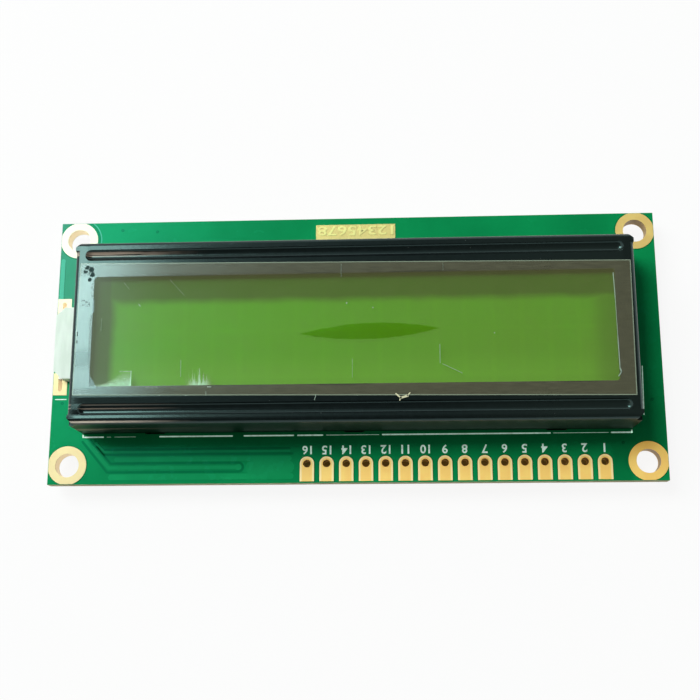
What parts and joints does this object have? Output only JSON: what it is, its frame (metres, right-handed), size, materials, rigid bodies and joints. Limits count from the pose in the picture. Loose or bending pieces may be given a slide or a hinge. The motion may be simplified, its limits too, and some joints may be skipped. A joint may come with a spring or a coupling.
{
  "type": "character display module",
  "caption": "Liquid crystal character display module: a green circuit board carrying a black steel bezel over a yellow-green display, with a row of plated header holes.",
  "frame": {"origin": "middle of the board outline, on the plane that the tips of the bezel tabs rest on", "axes": "+X along the display towards connector pin 1, +Y from the header edge to the far edge, +Z out of the display face"},
  "size_m": [0.08, 0.036, 0.0102],
  "materials": {
    "board": "green solder mask over glass-fibre board",
    "gold": "thin gold plating",
    "strip_rubber": "matt silicone rubber",
    "bezel_paint": "gloss black paint on steel",
    "film": "hazy peel-off film",
    "polarizer": "grey-green polarizing film",
    "glass": "clear glass",
    "seal_glue": "glue line",
    "crystal": "yellow-green fluid layer",
    "diffuser": "matt white sheet",
    "guide_acrylic": "clear acrylic with a dotted back",
    "reflector": "white sheet",
    "lamp_plastic": "milky white plastic",
    "lamp_phosphor": "pale yellow resin",
    "tin": "dull tin plating",
    "solder": "bright solder",
    "silicon": "bare silicon",
    "black_epoxy": "satin black epoxy",
    "resistor_black": "black glass over ceramic",
    "capacitor_tan": "tan ceramic"
  },
  "bodies": {
    "root": {"circuit_board": "board", "mounting_pads": "gold", "header_pads": "gold", "lead_pads": "gold", "marking_plate": "gold", "contact_fingers": "gold", "contact_strips": "strip_rubber", "bezel": "bezel_paint", "protective_film": "film", "front_polarizer": "polarizer", "front_glass": "glass", "glass_seal": "seal_glue", "liquid_crystal": "crystal", "rear_glass": "glass", "rear_polarizer": "polarizer", "diffuser_sheet": "diffuser", "light_guide": "guide_acrylic", "reflector_sheet": "reflector", "lamp_block": "lamp_plastic", "lamp_chips": "lamp_phosphor", "lamp_leads": "tin", "lead_joints": "solder", "controller_chip": "silicon", "controller_cover": "black_epoxy", "driver_chip": "silicon", "driver_cover": "black_epoxy", "resistor_bodies": "resistor_black", "resistor_ends": "tin", "capacitor_bodies": "capacitor_tan", "capacitor_ends": "tin"}
  },
  "joints": []
}
